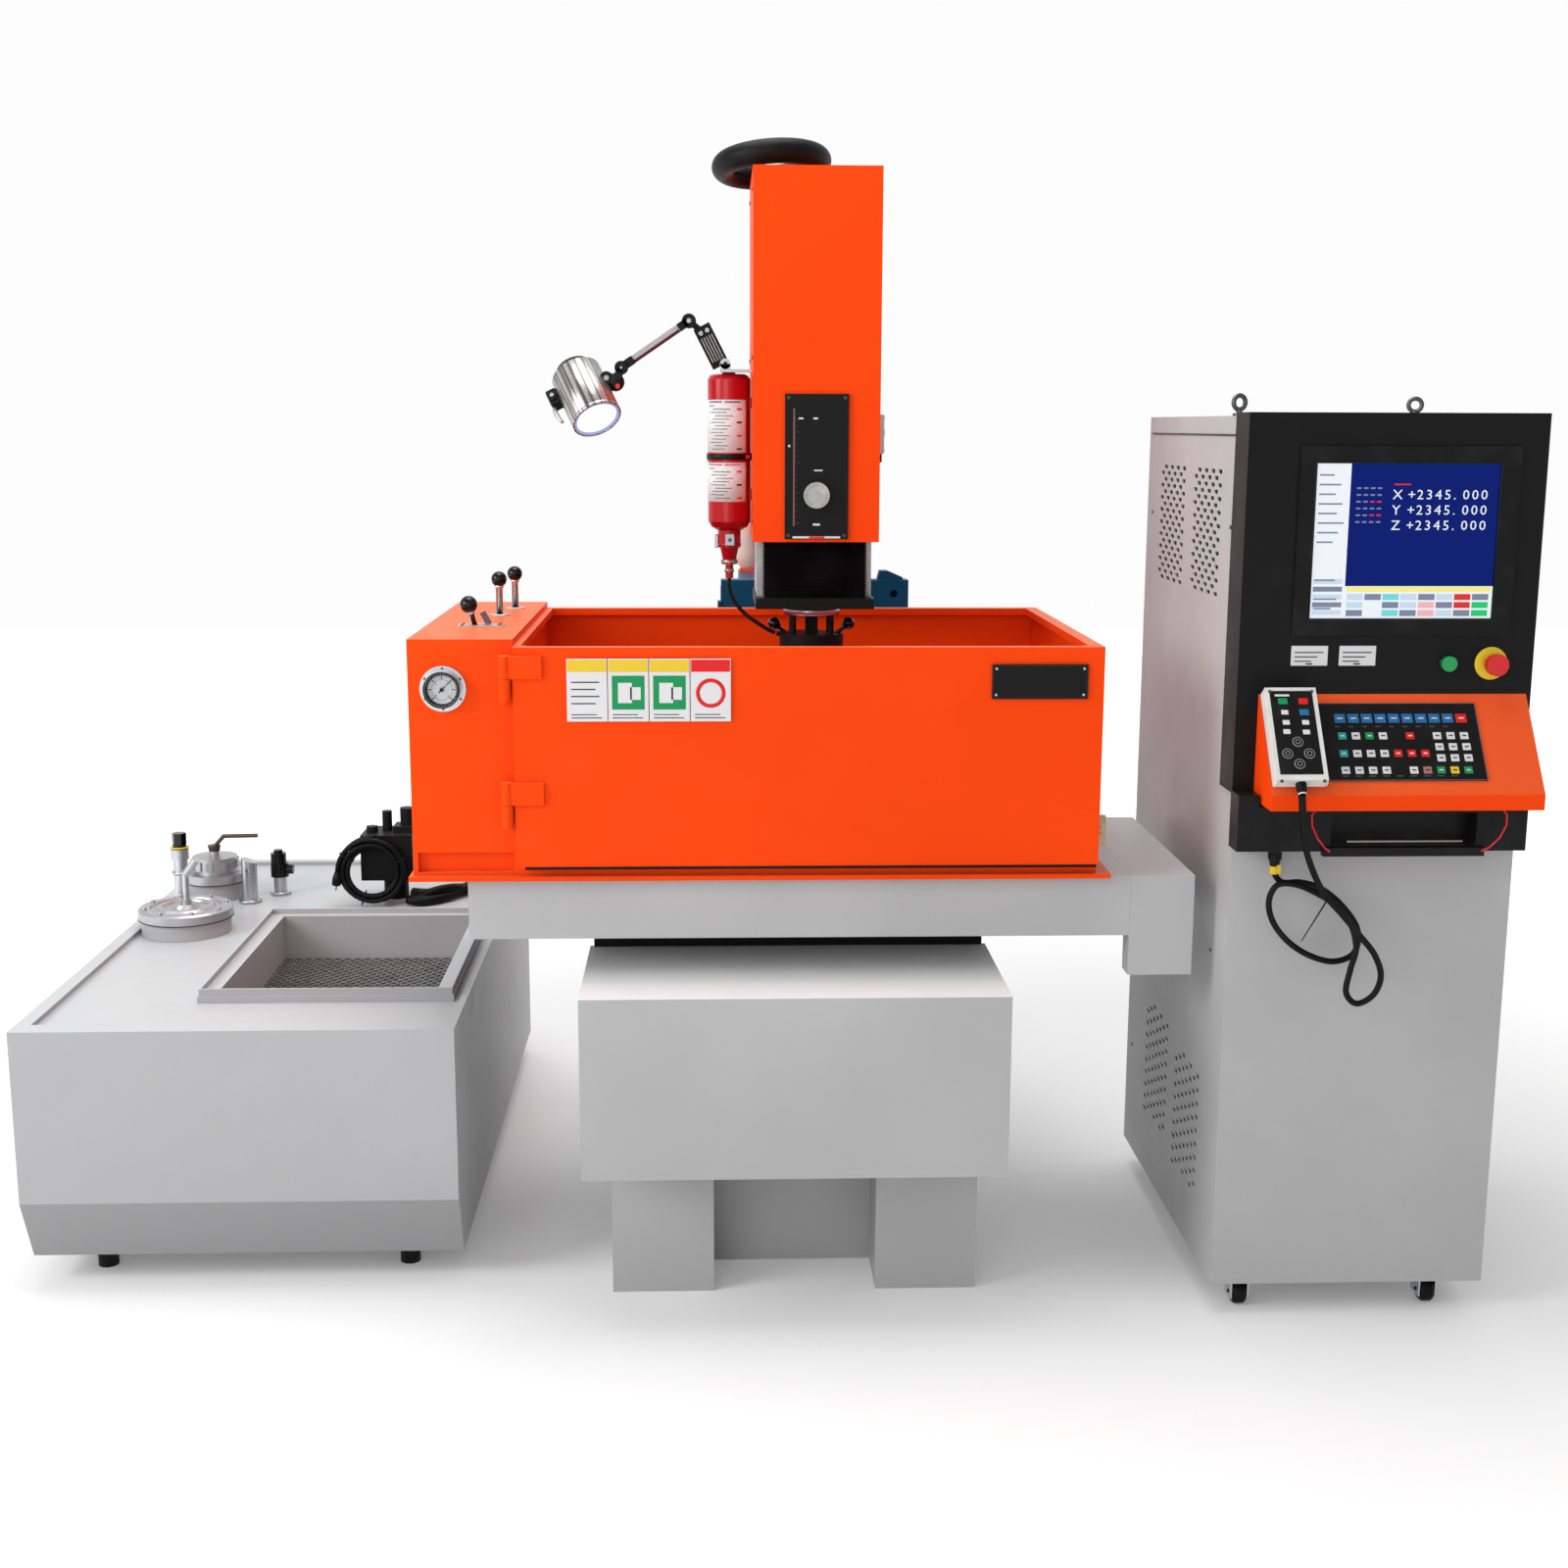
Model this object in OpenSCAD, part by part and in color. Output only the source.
// Sinker electrical discharge machine: the machine tool with its work tank,
// the dielectric reservoir on its left and the control cabinet on its right.
// Millimetres, +Z up, front of the machine towards -Y.
// The machine datum is the floor point between the front faces of the base legs;
// at_machine() moves that datum so that the model's origin is at the middle of its footprint.

/* [Base and saddle] */
// Width over the two base legs
base_w = 720; // [680:5:760]
// Depth of the base casting
base_d = 1320; // [1310:10:1500]
// Width of one base leg
leg_w = 200; // [160:5:220]
// Depth of the recess between the legs
leg_recess = 143; // [100:1:180]
// Height of the cross-slide ways above the floor
way_z = 636; // [600:1:650]
// How far the front cover stands in front of the legs
cover_front = 190; // [190:5:260]
// Height of the front cover's lower edge
cover_z0 = 311; // [260:1:360]
// Depth of the saddle
saddle_d = 520; // [480:5:530]
// Thickness of the saddle plate
saddle_h = 60; // [50:1:70]

/* [Table and work tank] */
// Height of the table beam
table_h = 116; // [100:1:130]
// Depth of the table beam
table_d = 720; // [680:5:730]
// Length of the end cover over the table drive
drive_cover_l = 122; // [110:1:130]
// Depth of the end cover over the table drive
drive_cover_d = 546; // [480:2:600]
// Width of the valve housing at the tank's left end
valve_w = 192; // [180:1:220]
// Inside length of the work tank
tank_l = 1069; // [1000:1:1080]
// Depth of the work tank
tank_d = 750; // [720:5:760]
// Height of the work tank's walls
tank_h = 428; // [400:1:440]
// Thickness of the tank's wall panels
tank_wall = 12; // [10:1:16]
// Height of the T-slotted work table
work_h = 120; // [90:5:150]

/* [Column and head] */
// Distance of the ram's centre line to the right of the machine's centre line
head_x = 42; // [30:1:50]
// Width of the head housing
head_w = 244; // [240:2:280]
// Height of the head housing
head_h = 700; // [680:10:800]
// Depth of the head housing
head_d = 332; // [326:2:380]
// Height of the pedestal above the ways
pedestal_h = 696; // [690:1:720]
// Width of the pedestal
pedestal_w = 442; // [400:2:460]
// Diameter of the electrode shank bore
chuck_bore_d = 16; // [10:1:20]

/* [Reservoir] */
// Width of the dielectric reservoir
res_w = 851; // [820:1:900]
// Depth of the dielectric reservoir
res_d = 1480; // [1440:10:1700]
// Height of the reservoir's deck above the floor
res_z1 = 543; // [520:1:580]
// Radius of the front filter pot
pot_r1 = 100; // [85:1:102]
// Radius of the rear filter pot
pot_r2 = 66; // [56:1:72]

/* [Control cabinet] */
// Width of the cabinet body
cab_w = 530; // [524:2:600]
// Depth of the cabinet body
cab_d = 790; // [770:2:960]
// Height of the cabinet body
cab_h = 1648; // [1600:4:1800]
// Diameter of a caster wheel
wheel_d = 48; // [40:1:52]
// Height of one vent slot
vent_h = 8; // [4:0.5:9]

/* [Hidden] */

$fn = 48;
eps = 0.01;
gap = 0.3;            // clearance between faces that slide or are assembled side by side
run = 0.05;           // radial clearance of a turning pin in its hole
sheet = 3;            // sheet steel of covers and cabinets

// --- base, cover and saddle
cover_z1 = way_z + 24;
cover_x = -8;
cover_w = base_w + 76;
cover_y1 = 180;
trough_w = 220;
trough_z = 520;
way_w = 110;
screw_z = 600;
way_x = base_w / 2 - 120;   // inner edge of the shoes on the ways
shoe_w = 58;
shoe_l = 110;
shoe_y = 220;
screw_r = 16;
motor_s = 108;
saddle_y = 170;
saddle_w = cover_w - 16;
saddle_z = cover_z1 + 8;
table_z0 = saddle_z + saddle_h + 13;
table_z1 = table_z0 + table_h;

// --- table and tank
table_y = -62;
tank_x0 = -714;
tank_y = -72;
lip_t = 9;
tank_z0 = table_z1 + lip_t;
tank_z1 = tank_z0 + tank_h;
door_x0 = tank_x0 + valve_w;
tank_x1 = door_x0 + tank_l + tank_wall;
table_x0 = tank_x0 + 98;
table_x1 = tank_x1 + 70;
tscrew_y = table_y + 360;
tscrew_z = table_z0 + 40;
tscrew_r = 14;
nut_run = 0.5;
lip = 12;
door_t = 20;
door_z0 = tank_z0 + 21;
hinge_zs = [tank_z1 - 57, tank_z1 - 290];
seal_t = 4;
hinge_x = door_x0 - 14;
hinge_y = tank_y - 24;
valve_z1 = tank_z1 + 12;
rod_xy = [[-594, 382], [-577, 529]];
lever_xy = [-607, 171];
lever_z = valve_z1 - 40;
housing_t = 18;
rod_r = 7;
lever_pin = 4;
gauge_x = -650;
gauge_z = tank_z1 - 78;
latch_y = -35;
latch_z = tank_z1 - 352;

// --- column, head and ram
ped_y = 950;
ped_x = 82;
ped_z1 = way_z + pedestal_h;
head_y = 168;
head_z0 = ped_z1 + 136;
head_z1 = head_z0 + head_h;
head_wall = 4;
ram_w = 226;
ram_y = head_y + 68;
ram_d = 212;
ram_z0 = head_z0 - 111;
ram_h = 540;
chuck_y = 330;
plate_t = 21;
flange_z = ram_z0 - plate_t - 23;
disc_z0 = flange_z - 64;
disc_z1 = disc_z0 + 26;
chuck_z0 = disc_z0 - 30;
bell_y = head_y + 32;
column_w = 200;
foot_w = 184;
ped_step = 42;         // drop of the pedestal behind its front plate
z_plate_z = head_z1 - 190;
z_screw_l = 330;
slide_x = 55;          // offset of each ram rail from the centre line

// --- extinguisher and lamp on the head's left side
ext_r = 42.5;
ext_x = head_x - head_w / 2 - ext_r - 2;
ext_y = 330;
ext_z0 = head_z0 + 14;
ext_z1 = head_z0 + 321;
lamp_y = 300;
lamp_p0 = [-132, 1808];
lamp_box = [[-140, 1804], [-179, 1880]];
lamp_p1 = [-203, 1890];
lamp_p2 = [-336, 1800];
lamp_ball = [-348, 1772];
lamp_pin = 3;
lamp_a = atan2(lamp_p2[0] - lamp_p1[0], lamp_p2[1] - lamp_p1[1]);
lamp_c = [-408, 300, 1750];
lamp_r = 50;
lamp_l = 136;
lamp_turn = [-34, -27, 0];
hose_pts = [[ext_x, ext_y, 1386], [ext_x, 330, 1366], [-118, 328, 1346], [-106, 324, 1328],
    [-89, 320, 1311], [-69, 317, 1297], [-50, 316, 1285], [-32, 316, 1276]];

// --- reservoir
res_x1 = -660;
res_x0 = res_x1 - res_w;
res_y = 8;
toe_z = 194;
toe_in = 59;
res_z0 = 62;
foot_r = 20;
lid_h = 30;
stem_h = 168;
deck_z = res_z1 - 10;
rim_w = 30;
pot_xy = [-1378, 790];
pot2_xy = [-1393, 1118];
pot_h = 36;
stem_xy = [-1420, 914];
vent_xy = [-1296, 1060];
vstem_xy = [-1240, 1141];
bask_x = [-1206, -688];
bask_y = [221, 884];
bask_h = 19;
bask_floor = 443;
pump_c = [-955, 1092];
coil_c = [-988, 1010];
coil_r = 88;
coil_in = 52;
coil_t = 30;

supply_y = 1130;
supply_z = 560;
supply_x1 = -base_w / 2 - 44;
supply_run = [[-900, 1070, 551], [-880, 1062, 551], [-860, 1060, 551], [-835, 1066, 551],
    [-812, 1080, 551], [-788, 1100, 552], [-765, 1118, 556], [-740, 1130, 560], [-700, 1133, 563],
    [-660, 1132, 564], [-610, 1130, 560], [-550, 1130, 552], [-490, 1130, 548], [-440, 1130, 554]];
supply_pts = concat([for (p = supply_run) if (p[0] < supply_x1 - 30) p],
    [[supply_x1, supply_y, supply_z]]);

// --- cabinet
cab_x = 798;
cab_y = -130;
cab_z0 = wheel_d + 14;
cab_z1 = cab_z0 + cab_h;
bez_y = cab_y - 10;
bez_over = 6;
bez_z0 = cab_z1 - 680;
bez_side = 78;
cons_x0 = 832;
cons_x1 = cab_x + cab_w - 3;
cons_z1 = cab_z1 - 497;
cons_drop = 166;
cons_out = 115;
cons_lip = 28;
cons_a = atan2(cons_out, cons_drop);
pend_x = [830, 922];
pend_s = [10, 192];       // pendant's ends, measured down the console's face
pend_n = 32;              // height of the cable's outlet above that face
relief_l = 22;
relief_r = 7;
mon_x = [886, cab_x + cab_w - 43];
mon_z = [cab_z1 - 390, cab_z1 - 52];
fair_z0 = cab_z1 - 778;
fair_y = cab_y - 65;
grip_x = [961, 1229];
button_z = cab_z1 - 441;
start_x = 1176;
estop_x = 1256;
wheel_r = wheel_d / 2;
wheel_w = 28;
cheek_x = wheel_w / 2 + 0.8;   // inner face of a caster cheek
caster_x = [cab_x + 68, cab_x + cab_w - 90];
caster_y = [cab_y + 50, cab_y + cab_d - 70];
panel_y = [cab_y + 85, cab_y + cab_d - 37];
panel_z = [cab_z0 + 45, cab_z1 - 37];
cord_r = 6;
cable_pts = [[876, -287, 1049.9], [878, -287, 1030], [883, -285, 990], [893, -280, 946],
    [915, -271, 898], [938, -262, 864], [972, -252, 828], [1008, -242, 788],
    [1042, -232, 748], [1060, -222, 705], [1051, -215, 667], [1022, -211, 649],
    [1002, -209, 670], [1008, -207, 712], [1017, -205, 754], [1004, -202, 800],
    [974, -199, 834], [938, -196, 856], [902, -193, 870], [870, -189, 868],
    [857, -186, 838], [866, -184, 800], [895, -182, 762], [938, -180, 733],
    [986, -178, 720], [1024, -176, 736], [1028, -174, 780], [998, -172, 824],
    [958, -170, 856], [920, -168, 868], [886, -166, 868], [871, -165, 884], [870, -165, 898]];
left_cord = [[926, -215, 1016], [917, -219, 1004], [918, -222, 985], [929, -222, 962],
    [944, -218, 944], [956, -210, 935]];
right_cord = [for (p = left_cord) [2190 - p[0], p[1], p[2]]];

// --- footprint, for the origin
x_lo = min(res_x0, tank_x0 - 8);
x_hi = cab_x + cab_w + bez_over;
y_lo = bez_y - (pend_s[1] + relief_l) * sin(cons_a) - (pend_n + relief_r) * cos(cons_a);
y_hi = max(res_y + res_d, base_d);
x_mid = (x_lo + x_hi) / 2;
y_mid = (y_lo + y_hi) / 2;

module at_machine() translate([-x_mid, -y_mid, 0]) children();

// A box from its lowest to its highest corner
module block(a, b) translate(a) cube([b[0] - a[0], b[1] - a[1], b[2] - a[2]]);

// A cylinder along X or Y from a point
module bar_x(p, r, l) translate(p) rotate([0, 90, 0]) cylinder(r = r, h = l);
module bar_y(p, r, l) translate(p) rotate([-90, 0, 0]) cylinder(r = r, h = l);

// A tube swept along a route, with a flat ring of points at each route point
function unit3(v) = v / norm(v);
function route_dir(p, i) = unit3(p[min(i + 1, len(p) - 1)] - p[max(i - 1, 0)]);
function side_of(d, up) = unit3(cross(d, up));
function ring_at(c, d, up, r, n) = let(s = side_of(d, up), t = cross(s, d))
    [for (k = [0:n - 1]) c + r * (cos(360 * k / n) * s + sin(360 * k / n) * t)];
module swept_tube(p, r, n, up) {
    m = len(p);
    rings = [for (i = [0:m - 1]) each ring_at(p[i], route_dir(p, i), up, r, n)];
    sides = [for (i = [0:m - 2], k = [0:n - 1])
        [i * n + k, i * n + (k + 1) % n, (i + 1) * n + (k + 1) % n, (i + 1) * n + k]];
    first = [for (k = [0:n - 1]) n - 1 - k];
    last = [for (k = [0:n - 1]) (m - 1) * n + k];
    polyhedron(rings, concat(sides, [first], [last]), convexity = 6);
}

// ---------------------------------------------------------------- machine base

module base_casting() color("silver") at_machine() difference() {
    block([-base_w / 2, 0, 0], [base_w / 2, base_d, way_z]);
    // recess between the front legs
    block([-base_w / 2 + leg_w, -1, -1], [base_w / 2 - leg_w, leg_recess, cover_z0 + 110]);
    // top face between and behind the ways
    block([-base_w / 2 + 20 + way_w, -1, way_z - 20], [base_w / 2 - 20 - way_w, ped_y - 10, way_z + 1]);
    for (s = [-1, 1])
        block([s * (base_w / 2 - 10) - 11, -1, way_z - 20],
            [s * (base_w / 2 - 10) + 11, ped_y - 10, way_z + 1]);
    // screw trough and the bearing bore for the cross screw
    block([-trough_w / 2, 60, trough_z], [trough_w / 2, ped_y - 10, way_z + 1]);
    bar_y([0, -1, screw_z], screw_r + 10, 62);
    // cored underside
    block([-base_w / 2 + 60, 200, -1], [base_w / 2 - 60, base_d - 60, trough_z - 50]);
}

module front_cover() color("silver") at_machine() difference() {
    block([cover_x - cover_w / 2, -cover_front, cover_z0], [cover_x + cover_w / 2, cover_y1, cover_z1]);
    block([cover_x - cover_w / 2 + sheet, -cover_front + sheet, cover_z0 + sheet],
        [cover_x + cover_w / 2 - sheet, cover_y1 + 1, cover_z1 - sheet]);
    // the bottom sheet stops at the legs
    block([-base_w / 2 - 1, -gap, cover_z0 - 1], [base_w / 2 + 1, cover_y1 + 1, cover_z0 + sheet + 1]);
}

// A servo motor with its square flange and round shaft, pointing along +Y
module servo_motor(body_l, shaft_r, shaft_l) {
    translate([-motor_s / 2, -body_l, -motor_s / 2]) cube([motor_s, body_l - 12, motor_s]);
    translate([-motor_s / 2 + 8, -12 - eps, -motor_s / 2 + 8]) cube([motor_s - 16, 12 + eps, motor_s - 16]);
    rotate([-90, 0, 0]) cylinder(r = shaft_r, h = shaft_l);
}

module axis_servo_drives() color("dimgray") at_machine() {
    // cross-slide motor and ball screw
    translate([0, -gap, screw_z]) servo_motor(150, screw_r, ped_y - 40);
    // ram motor and ball screw
    translate([head_x, ram_y + ram_d / 2, z_plate_z + 12]) {
        translate([-motor_s / 2, -motor_s / 2, 0]) cube([motor_s, motor_s, 150]);
        translate([0, 0, -z_screw_l]) cylinder(r = 12, h = z_screw_l + eps);
    }
}

module saddle() color("dimgray") at_machine() {
    z1 = saddle_z + saddle_h;
    difference() {
        union() {
            block([cover_x - saddle_w / 2, saddle_y, saddle_z],
                [cover_x + saddle_w / 2, saddle_y + saddle_d, z1]);
            // shoes that slide on the base ways
            for (x = [-way_x - shoe_w, way_x], y = [saddle_y + shoe_y, saddle_y + saddle_d - shoe_l - 10])
                block([x, y, way_z + gap], [x + shoe_w, y + shoe_l, saddle_z + eps]);
            // nut bracket under the plate
            block([-48, saddle_y + 250, screw_z - 34], [48, saddle_y + 330, saddle_z + eps]);
            // guide strips for the table and the lug that holds its nut
            for (y = [saddle_y + 30, saddle_y + saddle_d - 85])
                block([-saddle_w / 2 + 20, y, z1 - eps], [saddle_w / 2 - 20, y + 50, table_z0 - gap]);
            block([-40, tscrew_y - 42, z1 - eps], [40, tscrew_y + 42, tscrew_z + 26]);
        }
        bar_y([0, saddle_y + 249, screw_z], screw_r + nut_run, 82);
        bar_x([-41, tscrew_y, tscrew_z], tscrew_r + nut_run, 82);
    }
}

// ---------------------------------------------------------------- table and tank

module table() color("silver") at_machine() difference() {
    block([table_x0, table_y, table_z0], [table_x1, table_y + table_d, table_z1]);
    // underside left open round the screw
    block([table_x0 + 60, tscrew_y - 60, table_z0 - 1], [table_x1 - 40, tscrew_y + 60, table_z0 + 70]);
    bar_x([table_x1 - 41, tscrew_y, tscrew_z], tscrew_r + 8, 42);
}

module table_drive() color("silver") at_machine() {
    x0 = table_x1 + gap;
    x1 = table_x1 + drive_cover_l;
    z0 = cover_z1 + 3;
    motor = 36;
    difference() {
        union() {
            block([x0, table_y, table_z0], [x1, table_y + drive_cover_d, table_z1]);
            block([x0, table_y, z0], [x1, table_y + 50, table_z0 + eps]);
        }
        block([x0 - 1, table_y + sheet, table_z0 + sheet],
            [x1 - sheet, table_y + drive_cover_d - sheet, table_z1 - sheet]);
    }
    // motor in the cover and its screw under the table
    block([x0, tscrew_y - motor, tscrew_z - motor], [x0 + 100, tscrew_y + motor, tscrew_z + motor]);
    bar_x([table_x0 + 90, tscrew_y, tscrew_z], tscrew_r, x0 - table_x0 - 90 + eps);
}

module work_table() color("gainsboro") at_machine() {
    x0 = head_x - 370;
    x1 = head_x + 370;
    y0 = tank_y + 152;
    y1 = tank_y + 632;
    z0 = tank_z0 + 6;
    z1 = z0 + work_h;
    difference() {
        block([x0, y0, z0 + 60], [x1, y1, z1]);
        for (k = [0:3]) {
            y = y0 + 60 + k * 120;
            block([x0 - 1, y - 7, z1 - 24], [x1 + 1, y + 7, z1 + 1]);
            block([x0 - 1, y - 12, z1 - 24], [x1 + 1, y + 12, z1 - 14]);
        }
    }
    // four pads carry the plate above the tank floor
    for (x = [x0 + 60, x1 - 60], y = [y0 + 60, y1 - 60])
        translate([x, y, z0]) cylinder(r = 34, h = 60 + eps);
}

module work_tank() color("orangered") at_machine() difference() {
    union() {
        // base tray with its rounded front lip
        block([tank_x0 - 8, tank_y - lip, table_z1], [tank_x1 + 27, tank_y + tank_d + 6, tank_z0]);
        // valve housing, hollow and open at the back
        difference() {
            block([tank_x0, tank_y, tank_z0 - eps], [door_x0, tank_y + tank_d, valve_z1]);
            block([tank_x0 + sheet, tank_y + 60, tank_z0 + 40],
                [door_x0 - tank_wall, tank_y + tank_d + 1, valve_z1 - housing_t]);
        }
        // back and right wall, floor, sill under the door
        block([door_x0 - eps, tank_y + tank_d - tank_wall, tank_z0 - eps],
            [tank_x1, tank_y + tank_d, tank_z1]);
        block([tank_x1 - tank_wall, tank_y, tank_z0 - eps], [tank_x1, tank_y + tank_d, tank_z1]);
        block([door_x0 - eps, tank_y, tank_z0 - eps], [tank_x1, tank_y + tank_d, tank_z0 + 6]);
        block([door_x0 - eps, tank_y, tank_z0 - eps], [tank_x1, tank_y + 12, tank_z0 + 24]);
        // folded top rims
        block([door_x0 - eps, tank_y + tank_d - 30, tank_z1 - 14], [tank_x1, tank_y + tank_d, tank_z1]);
        block([tank_x1 - 26, tank_y, tank_z1 - 14], [tank_x1, tank_y + tank_d, tank_z1]);
        block([door_x0 - eps, tank_y, tank_z1 - 14], [door_x0 + 14, tank_y + tank_d, tank_z1]);
        // jambs that the door closes on
        block([door_x0 - eps, tank_y, tank_z0 - eps], [door_x0 + 24, tank_y + 6, tank_z1]);
        block([tank_x1 - 36, tank_y, tank_z0 - eps], [tank_x1, tank_y + 6, tank_z1]);
        // fixed knuckles of the two door hinges
        for (z = hinge_zs) {
            translate([hinge_x, hinge_y, z - 43]) cylinder(r = 11, h = 42.7);
            block([hinge_x - 11, hinge_y, z - 43], [hinge_x + 2, tank_y + eps, z - gap]);
        }
        // lugs that carry the flow lever under the housing's top
        for (s = [0, 1]) translate([lever_xy[0] - 10, lever_xy[1] - 12 + s * 19, lever_z - 12])
            cube([20, 5, 40 - housing_t + 12 + eps]);
        // boss that the latch turns on
        bar_x([tank_x1 - eps, latch_y, latch_z], 9, 5);
    }
    // recessed kick under the valve housing's front
    block([tank_x0 + 9, tank_y - 1, tank_z0 + 6], [door_x0 - 6, tank_y + 14, tank_z0 + 44]);
    // slot for the flow lever, holes for the two rods and the gauge stem
    translate([lever_xy[0] - 25, lever_xy[1] - 6, valve_z1 - housing_t - 1]) cube([50, 12, 30]);
    bar_y([lever_xy[0], lever_xy[1] - 13, lever_z], lever_pin + run, 26);
    for (p = rod_xy) translate([p[0], p[1], valve_z1 - housing_t - 1]) cylinder(r = rod_r + 2 * run,
        h = 30);
    bar_y([gauge_x, tank_y - 1, gauge_z], 7, 80);
    // holes for the hinge pins and the latch pin
    for (z = hinge_zs) translate([hinge_x, hinge_y, z - 44]) cylinder(r = 4 + run, h = 45);
    bar_x([tank_x1 - tank_wall - 1, latch_y, latch_z], 4 + run, 20);
}

module tank_door() color("orangered") at_machine() {
    y1 = tank_y - gap - seal_t;
    difference() {
        union() {
            block([door_x0 + gap, y1 - 5, door_z0], [tank_x1 - gap, y1, tank_z1]);
            // folded edges along the top and the free end
            block([door_x0 + gap, y1 - door_t + 6, tank_z1 - 14], [tank_x1 - gap, y1, tank_z1]);
            block([tank_x1 - gap - 14, y1 - door_t + 6, door_z0], [tank_x1 - gap, y1, tank_z1]);
            block([door_x0 + gap, y1 - door_t + 6, door_z0], [tank_x1 - gap, y1, door_z0 + 14]);
            block([door_x0 + gap, y1 - door_t + 6, door_z0], [door_x0 + 14, y1, tank_z1]);
            // face sheet
            block([door_x0 + gap, y1 - door_t, door_z0], [tank_x1 - gap, y1 - door_t + 6 + eps, tank_z1]);
            for (z = hinge_zs) {
                block([hinge_x, y1 - door_t - 7, z + gap], [hinge_x + 68, y1 - door_t + eps, z + 42]);
                translate([hinge_x, hinge_y, z + gap]) cylinder(r = 11, h = 42 - gap);
            }
        }
        // room for the seal behind the sheet, and slot for the latch arm
        block([tank_x1 - gap - 15, y1 - door_t + 6, latch_z - 12], [tank_x1, y1 - 5 + eps, latch_z + 12]);
    }
    // pins fixed in the upper knuckles, free in the lower ones
    for (z = hinge_zs) translate([hinge_x, hinge_y, z - 42]) cylinder(r = 4, h = 60);
}

module door_seal() color("black") at_machine() {
    y0 = tank_y - gap - seal_t;
    difference() {
        block([door_x0 + 4, y0, door_z0 + 2], [tank_x1 - 6, y0 + seal_t, tank_z1 - 3]);
        block([door_x0 + 24, y0 - 1, door_z0 + 20], [tank_x1 - 30, y0 + seal_t + 1, tank_z1 + 1]);
    }
}

module door_latch() color("peru") at_machine() {
    bar_x([tank_x1 - tank_wall - 2, latch_y, latch_z], 4, tank_wall + 12);
    bar_x([tank_x1 + 5.3, latch_y, latch_z], 11, 8);
    block([tank_x1 + 5.3, latch_y - 7, latch_z - 31], [tank_x1 + 23, latch_y + 7, latch_z + 26]);
}

module pressure_gauge() color("gainsboro") at_machine() {
    y1 = tank_y - gap;
    difference() {
        union() {
            bar_y([gauge_x, y1 - 4, gauge_z], 42, 4);
            bar_y([gauge_x, y1 - 24, gauge_z], 33, 20 + eps);
            bar_y([gauge_x, y1, gauge_z], 6, 60);
        }
        bar_y([gauge_x, y1 - 25, gauge_z], 30, 12);
        bar_y([gauge_x, y1 - 14, gauge_z], 1 + run, 8);
        for (a = [30:120:270])
            bar_y([gauge_x + 37.5 * cos(a), y1 - 5, gauge_z + 37.5 * sin(a)], 2.2, 6);
    }
}

module gauge_needle() color("black") at_machine() {
    y1 = tank_y - gap;
    bar_y([gauge_x, y1 - 18, gauge_z], 1, 10);
    bar_y([gauge_x, y1 - 19, gauge_z], 3.5, 2);
    translate([gauge_x, y1 - 18.5, gauge_z]) rotate([0, 45, 0]) {
        translate([-1, 0, -8]) cube([2, 1, 16]);
        translate([-0.6, 0, 0]) cube([1.2, 1, 24]);
    }
}

// A black ball on a thin stem, standing on the origin
module ball_stem(h, r, stem_r) {
    cylinder(r = stem_r, h = h + eps);
    translate([0, 0, h]) cylinder(r1 = stem_r + 1, r2 = stem_r + 3, h = 5);
    translate([0, 0, h + 4 + r * 0.9]) sphere(r = r);
}

module flow_lever() color("black") at_machine() translate([lever_xy[0], lever_xy[1], lever_z]) {
    rotate([0, -16, 0]) ball_stem(65, 17, 5);
    bar_y([0, -6.5, 0], 8, 13);
    bar_y([0, -12.5, 0], lever_pin, 25);
}

module control_rod(p) translate([p[0], p[1], valve_z1 - 110]) {
    ball_stem(165, 16, rod_r);
    // stop collar under the housing's top
    translate([0, 0, 20]) cylinder(r = rod_r + 5, h = 5);
}
module fill_rod() color("black") at_machine() control_rod(rod_xy[0]);
module drain_rod() color("black") at_machine() control_rod(rod_xy[1]);

// ---------------------------------------------------------------- column and head

module column_pedestal() color("steelblue") at_machine() {
    x0 = ped_x - pedestal_w / 2;
    x1 = ped_x + pedestal_w / 2;
    difference() {
        union() {
            // front plate, lower body behind it, and the seat of the column
            block([x0, ped_y + 4, way_z], [x1, ped_y + 54, ped_z1]);
            block([x0, ped_y + 54 - eps, way_z], [x1, base_d - 10, ped_z1 - ped_step]);
            block([head_x - foot_w / 2 - 44, ped_y + 54 - eps, way_z],
                [head_x + foot_w / 2 + 44, base_d - 10, ped_z1]);
            // clamp flange on the left
            block([x0 - 8, ped_y, way_z], [x0 + eps, ped_y + 40, ped_z1 - 50]);
            // lifting lug on the right shoulder
            translate([0, ped_y + 54, ped_z1 - eps]) rotate([90, 0, 0]) linear_extrude(40)
                polygon([[x1 - 72, 0], [x1 - 67, 21], [x1 - 49, 21], [x1 - 12, 5], [x1 - 12, 0]]);
        }
        bar_y([x1 - 34, ped_y - 1, ped_z1 - 32], 9, 30);
        // cored from below
        block([x0 + 40, ped_y + 90, way_z - 1], [x1 - 40, base_d - 50, ped_z1 - ped_step - 30]);
    }
}

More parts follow.
